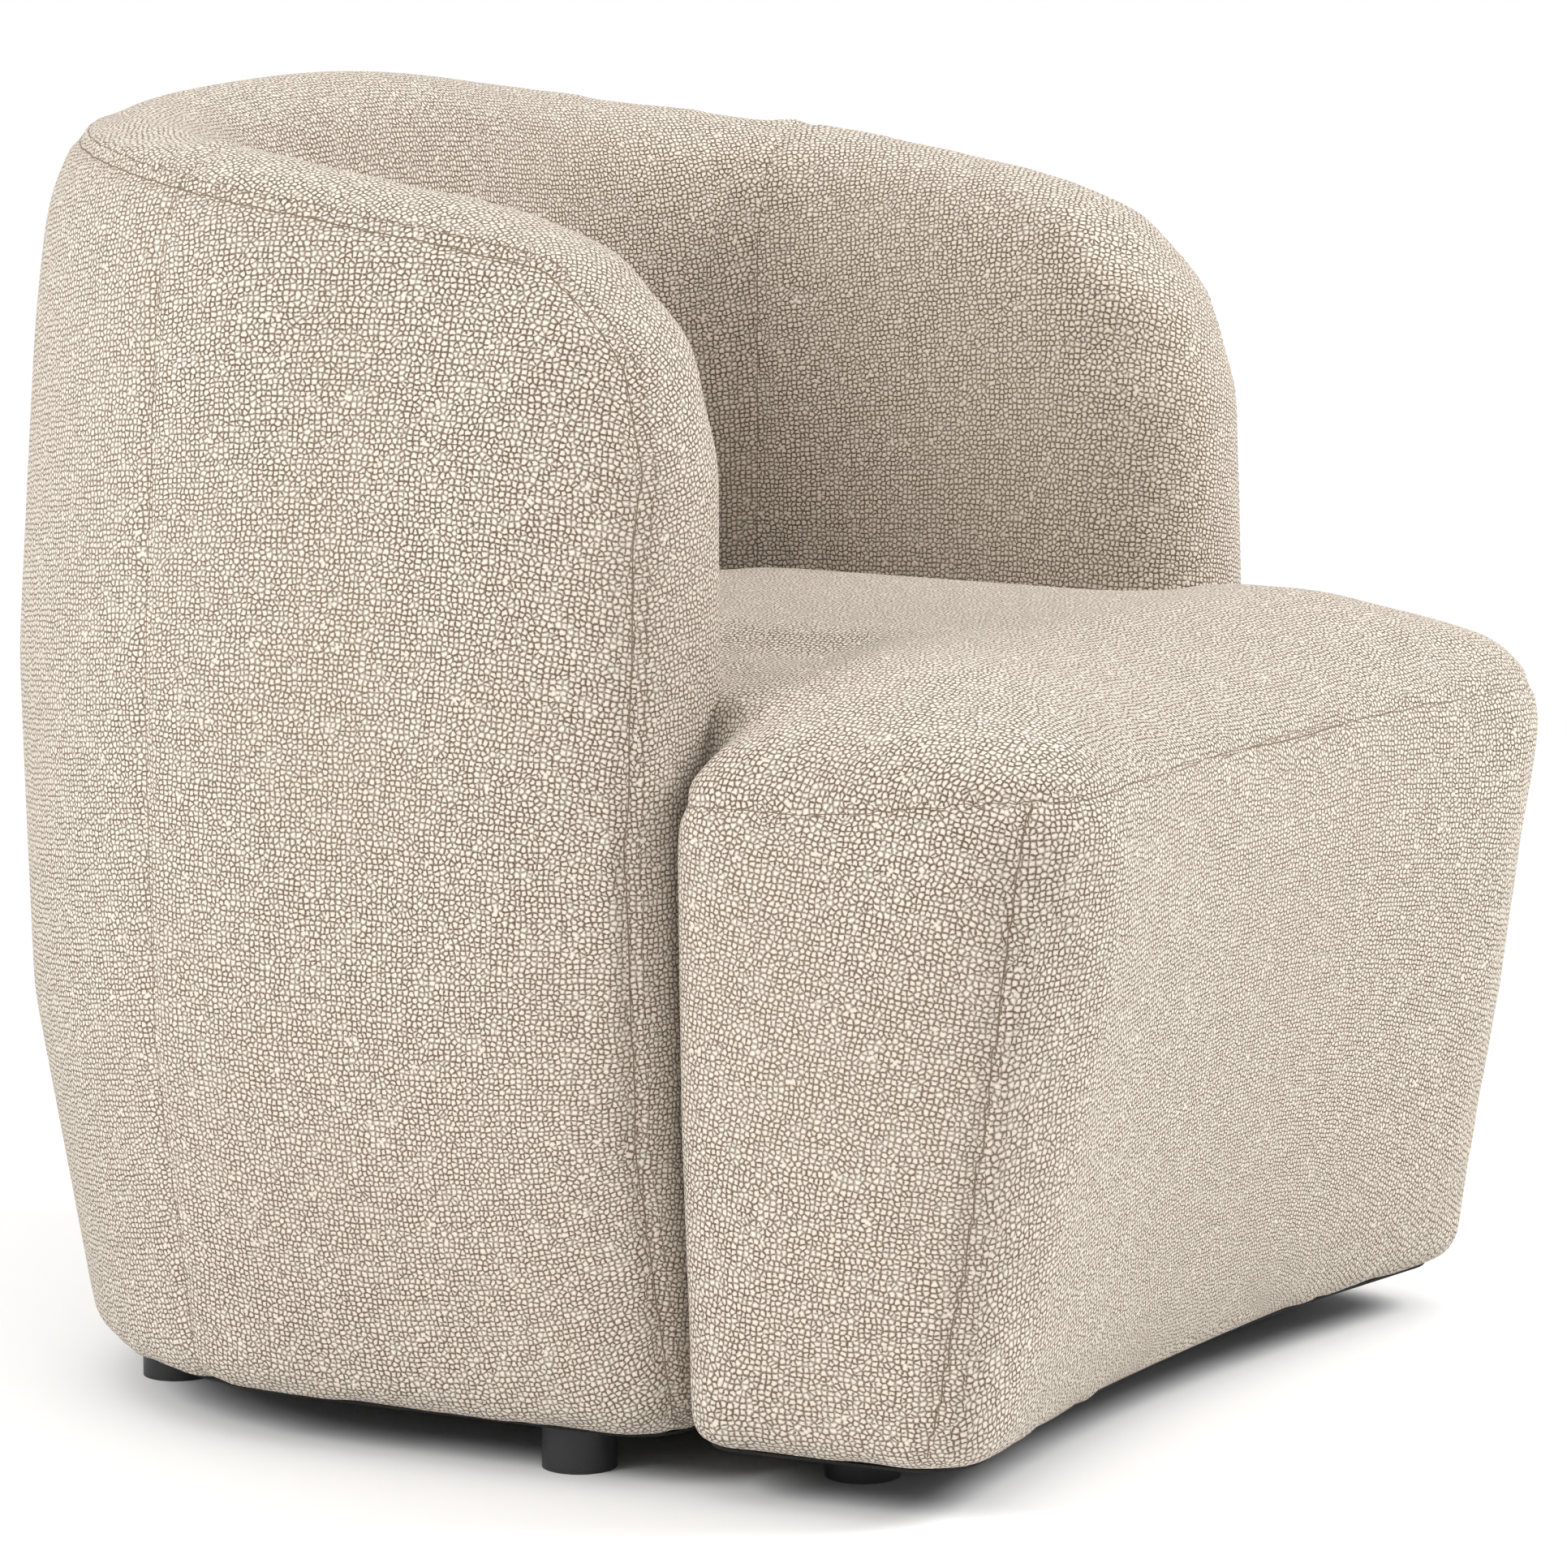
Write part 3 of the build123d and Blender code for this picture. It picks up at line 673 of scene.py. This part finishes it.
def stuff_edges(piece):
    """Add the stuffing beside the arms to the seat, in blocks, and even it out."""
    for side in (-1, 1):
        for inner, outer, front, back, top in (SIDE_STUFFING, CORNER_STUFFING):
            middle = (side * (inner + outer) / 2, (front + back) / 2, top - STUFFING_DEPTH / 2)
            size = (outer - inner, back - front, STUFFING_DEPTH)
            bpy.ops.mesh.primitive_cube_add(size=1, location=middle, scale=size)
            joined([piece, bpy.context.object])
    even_quads(piece, VOXEL)
    places = points_of(piece)
    upper = eased((places[:, 2] - STUFFING_TOP) / STUFFING_FADE + 1)
    behind = eased((places[:, 1] - SHOULDER) / STUFFING_FADE + 2)
    smooth_by(piece, upper * behind, STUFFING_ROUNDS)


def soften(piece):
    """Smooth the padding, but keep its lower edge crisp."""
    height = points_of(piece)[:, 2] - BASE_HEIGHT
    share = (height - CRISP_BASE) / (SOFT_FROM - CRISP_BASE)
    smooth_by(piece, np.clip(share, LEAST_SMOOTHING, 1), SMOOTH_ROUNDS)


def swell(piece, seams, neighbour):
    """Press the padding out against its cover, held at the seams, the base and where it rests."""
    start = points_of(piece)
    seam_tree = tree_of(sum(onto(piece, seams), []))
    held = piece.vertex_groups.new(name="held")
    for vertex in piece.data.vertices:
        near_seam = seam_tree.find(vertex.co)[2] < HELD_NEAR_SEAM
        near_other = neighbour.find_nearest(vertex.co)[3] < HELD_NEAR_NEIGHBOUR
        if near_seam or near_other or vertex.co.z < BASE_HEIGHT + HELD_NEAR_BASE:
            held.add([vertex.index], 1, "REPLACE")
    work_on(piece)
    cloth = piece.modifiers.new("Cloth", "CLOTH")
    cloth.settings.quality = SWELL_QUALITY
    cloth.settings.use_pressure = True
    cloth.settings.uniform_pressure_force = SWELL_PRESSURE
    cloth.settings.vertex_group_mass = held.name
    cloth.settings.effector_weights.gravity = 0
    cloth.point_cache.frame_start = 1
    cloth.point_cache.frame_end = SWELL_FRAMES
    for moment in range(1, SWELL_FRAMES + 1):
        bpy.context.scene.frame_set(moment)
    bpy.ops.object.modifier_apply(modifier=cloth.name)
    bpy.context.scene.frame_set(1)
    move = points_of(piece) - start
    reach = np.linalg.norm(move, axis=1, keepdims=True)
    move_points(piece, start + move * np.minimum(1, SWELL_CAP / np.maximum(reach, NO_MOVE)))
    piece.vertex_groups.clear()


def cut_between(piece, label):
    """Mark the edges between panels as the cuts of the cloth's layout."""
    sheet = bmesh.new()
    sheet.from_mesh(piece.data)
    sheet.faces.ensure_lookup_table()
    for edge in sheet.edges:
        edge.seam = len({label[f.index] for f in edge.link_faces}) > 1
    sheet.to_mesh(piece.data)
    sheet.free()


def unwrapped(piece):
    """The cloth's layout of a piece, as an array with a spot for each face corner."""
    work_on(piece)
    bpy.ops.object.mode_set(mode="EDIT")
    bpy.ops.mesh.select_mode(type="FACE")
    bpy.ops.mesh.select_all(action="SELECT")
    bpy.ops.uv.unwrap(method="MINIMUM_STRETCH", iterations=LAYOUT_ROUNDS, margin=LAYOUT_MARGIN)
    bpy.ops.object.mode_set(mode="OBJECT")
    flat = np.empty(len(piece.data.loops) * 2)
    piece.data.uv_layers.active.uv.foreach_get("vector", flat)
    return flat.reshape(-1, 2)


def flat_areas(mesh, flat, quad):
    """Area of each face in the cloth's layout."""
    after = np.roll(np.arange(len(flat)), -1)
    ends = np.array([f.loop_start + f.loop_total - 1 for f in mesh.polygons])
    after[ends] = [f.loop_start for f in mesh.polygons]
    cross = flat[:, 0] * flat[after, 1] - flat[after, 0] * flat[:, 1]
    return np.abs(np.bincount(quad, cross)) / 2


def lay_out_cloth(piece, panels, count, seam_shift):
    """Unwrap each cover panel flat at true size, with the weave's rows level on the chair."""
    surface, owners = panels
    mesh = piece.data
    middles = [Vector(f.center) for f in mesh.polygons]
    label = np.array([owners[surface.find_nearest(m - seam_shift(m))[2]] for m in middles])
    cut_between(piece, label)
    flat = unwrapped(piece)
    corner_vertex = np.empty(len(mesh.loops), dtype=int)
    mesh.loops.foreach_get("vertex_index", corner_vertex)
    places = points_of(piece)[corner_vertex]
    quad = np.repeat(np.arange(len(mesh.polygons)), [f.loop_total for f in mesh.polygons])
    area = np.array([f.area for f in mesh.polygons])
    flat_area = flat_areas(mesh, flat, quad)
    for panel in range(count):
        faces = label == panel
        corners = faces[quad]
        spots = flat[corners]
        scale = np.sqrt(area[faces].sum() / flat_area[faces].sum())
        middle = spots.mean(0)
        level = places[corners][:, 2]
        if level.std() < LEVEL_SPREAD:
            level = -places[corners][:, 1]
        slope, *_ = np.linalg.lstsq(np.c_[spots - middle, np.ones(len(spots))], level, rcond=None)
        up = slope[:2] / np.linalg.norm(slope[:2])
        turn = np.array([[up[1], -up[0]], [up[0], up[1]]])
        flat[corners] = (spots - middle) @ turn.T * scale + PANEL_SPACING * panel
    mesh.uv_layers.active.uv.foreach_set("vector", flat.ravel())


def press_in(piece, lines, depth, width):
    """Draw the cover in along its seams, as the sewing does."""
    tree = tree_of(sum(onto(piece, lines), []))
    places = points_of(piece)
    reach = np.array([tree.find(p)[2] for p in places])
    share = eased(1 - reach / width)
    move_points(piece, places - normals_of(piece) * (share * depth)[:, None])


def pad(name, foam, cover, panels, seams, neighbour, seam_shift, fill_out):
    """A padded piece in its cover, from the CAD foam."""
    piece = full_form(name, foam, panels[0])
    fill_out(piece)
    soften(piece)
    apply_modifier(piece, "DISPLACE", strength=COVER_THICKNESS, mid_level=0)
    swell(piece, seams, neighbour)
    lay_out_cloth(piece, panels, len(cover), seam_shift)
    apply_modifier(piece, "SUBSURF", levels=1)
    press_in(piece, seams, SEAM_DEPTH, SEAM_WIDTH)
    work_on(piece)
    bpy.ops.object.shade_smooth()
    piece.data.materials.append(boucle_cloth)
    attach(piece, "root")
    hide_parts(*cover, *foam)
    return piece


def sewn(piece):
    """Give a sewn line its finish and let it ride with the chair."""
    work_on(piece)
    bpy.ops.object.shade_smooth()
    piece.data.materials.clear()
    piece.data.materials.append(thread_and_seam_shade)
    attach(piece, "root")


def seam_shade_cord(name, piece, lines, thickness):
    """Painted shade along the line where panels meet, as a fine dark cord sunk in the cover."""
    curve = bpy.data.curves.new(name, "CURVE")
    curve.dimensions = "3D"
    curve.bevel_depth = thickness
    curve.bevel_resolution = 1
    curve.use_fill_caps = True
    for line in onto(piece, lines, thickness * SEAM_SUNK):
        run = curve.splines.new("POLY")
        run.points.add(len(line) - 1)
        for spot, place in zip(run.points, line):
            spot.co = (*place, 1)
    cord = bpy.data.objects.new(name, curve)
    bpy.context.scene.collection.objects.link(cord)
    work_on(cord)
    bpy.ops.object.convert(target="MESH")
    sewn(bpy.context.object)


def topstitch_lines(piece, lines, panels, inner_from, seam_shift):
    """Lines a little way from seams, on the side of the inner panels."""
    surface, owners = panels
    skin = skin_of(piece)
    shifted = []
    for line in lines:
        moved = []
        for index, point in enumerate(line):
            along = line[min(index + 1, len(line) - 1)] - line[max(index - 1, 0)]
            place, normal, _, _ = skin.find_nearest(point)
            side = normal.cross(along).normalized()
            panel = owners[surface.find_nearest(place + side * TOPSTITCH_OFFSET - seam_shift(place))[2]]
            if panel < inner_from:
                side = -side
            moved.append(skin.find_nearest(place + side * TOPSTITCH_OFFSET)[0])
        shifted.append(moved)
    return shifted


def stitching(name, piece, lines):
    """A row of short stitches, each a fine sunk capsule along the line."""
    bpy.ops.mesh.primitive_uv_sphere_add(segments=6, ring_count=4, radius=0.5)
    stitch = bpy.context.object
    shape = points_of(stitch)[:, [2, 0, 1]] * (STITCH_LENGTH, STITCH_THICKNESS, STITCH_THICKNESS)
    faces = [list(f.vertices) for f in stitch.data.polygons]
    bpy.data.objects.remove(stitch)
    skin = skin_of(piece)
    corners = []
    corner_faces = []
    for line in lines:
        spots = spaced(line, STITCH_PITCH)
        for here, there in zip(spots, spots[1:]):
            place, normal, _, _ = skin.find_nearest((here + there) / 2)
            along = (there - here).normalized()
            across = normal.cross(along).normalized()
            turn = np.array([along, across, normal])
            start = len(corners)
            corners.extend(shape @ turn + np.array(place - normal * STITCH_THICKNESS * STITCH_SUNK))
            corner_faces.extend([start + i for i in f] for f in faces)
    mesh = bpy.data.meshes.new(name)
    mesh.from_pydata(corners, [], corner_faces)
    row = bpy.data.objects.new(name, mesh)
    bpy.context.scene.collection.objects.link(row)
    sewn(row)


def lay_floor():
    """A pale floor that the camera sees fade to white, so that no horizon shows."""
    bpy.ops.mesh.primitive_plane_add(size=FLOOR_SIZE, location=(0, 0, 0))
    floor = bpy.context.object
    floor.name = "studio_floor"
    finish, nodes, surface = new_finish("studio floor")
    place = nodes.add("ShaderNodeTexCoord").outputs["Object"]
    cloud = nodes.add("ShaderNodeTexNoise", {"Vector": place, "Scale": FLOOR_CLOUD}).outputs[0]
    nodes.feed(surface, {
        "Base Color": nodes.blend(cloud, FLOOR_GREY, FLOOR_PALE),
        "Roughness": 1.0,
        "Specular IOR Level": 0.0,
    })
    away = nodes.add("ShaderNodeVectorMath", {0: place}, operation="LENGTH").outputs["Value"]
    far = nodes.sums("MULTIPLY", nodes.ramp(away, *FLOOR_FADE), nodes.seen())
    white = nodes.add("ShaderNodeEmission").outputs[0]
    faded = nodes.add("ShaderNodeMixShader", {0: far, 1: surface.outputs[0], 2: white}).outputs[0]
    nodes.feed(nodes.find("OUTPUT_MATERIAL"), {"Surface": faded})
    floor.data.materials.append(finish)


def light_sky():
    """White behind the chair, and a dome of light that brightens from the horizon up."""
    world = bpy.context.scene.world or bpy.data.worlds.new("studio")
    bpy.context.scene.world = world
    world.use_nodes = True
    sky = Nodes(world.node_tree)
    direction = sky.add("ShaderNodeTexCoord").outputs["Generated"]
    height = sky.add("ShaderNodeSeparateXYZ", {0: direction}).outputs["Z"]
    dome = sky.add("ShaderNodeMapRange", {
        "Value": height,
        "From Max": SKY_FULL_FROM,
        "To Min": SKY_HORIZON,
        "To Max": SKY_LIGHT,
    }).outputs[0]
    level = sky.sums("MAXIMUM", sky.seen(), dome)
    sky.feed(sky.find("BACKGROUND"), {"Color": WHITE, "Strength": level})


def aim(piece):
    """Turn a lamp or a camera towards the chair."""
    piece.rotation_euler = (CAMERA_TARGET - piece.location).to_track_quat("-Z", "Y").to_euler()


def studio():
    """Floor, sky, lamps at the right front and the left rear, and the photograph's camera."""
    lay_floor()
    light_sky()
    for name, place, size, power in LAMPS:
        bpy.ops.object.light_add(type="AREA", location=place)
        lamp = bpy.context.object
        lamp.name = name
        lamp.data.shape = "DISK"
        lamp.data.size = size
        lamp.data.energy = power
        aim(lamp)
    bpy.ops.object.camera_add(location=CAMERA_PLACE)
    camera = bpy.context.object
    aim(camera)
    camera.data.sensor_width = CAMERA_SENSOR
    camera.data.lens = CAMERA_LENS
    bpy.context.scene.camera = camera
    bpy.context.scene.view_settings.view_transform = "Standard"


edge_seam, corner_seams = shell_seams()
seat_top_seam, seat_uprights = seat_seams()
shell_panels = surface_of(SHELL_COVER)
seat_panels = surface_of(SEAT_COVER)
shell = pad("shell_padding", SHELL_FOAM, SHELL_COVER, shell_panels, edge_seam + corner_seams,
            seat_panels[0], shell_seam_shift, round_top)
seat = pad("seat_padding", SEAT_FOAM, SEAT_COVER, seat_panels, seat_top_seam + seat_uprights,
           shell_panels[0], seat_seam_shift, stuff_edges)
# Dark cords in the thread's colour that paint the shade in the seams' creases
seam_shade_cord("edge_seam", shell, edge_seam, SEAM_LINE)
seam_shade_cord("corner_seams", shell, corner_seams, FAINT_SEAM_LINE)
seam_shade_cord("seat_top_seam", seat, seat_top_seam, FAINT_SEAM_LINE)
seam_shade_cord("seat_upright_seams", seat, seat_uprights, SEAM_LINE)
stitching("arm_topstitch", shell,
          topstitch_lines(shell, edge_seam, shell_panels, len(SHELL_OUTER), shell_seam_shift))
finish_nodes()
studio()
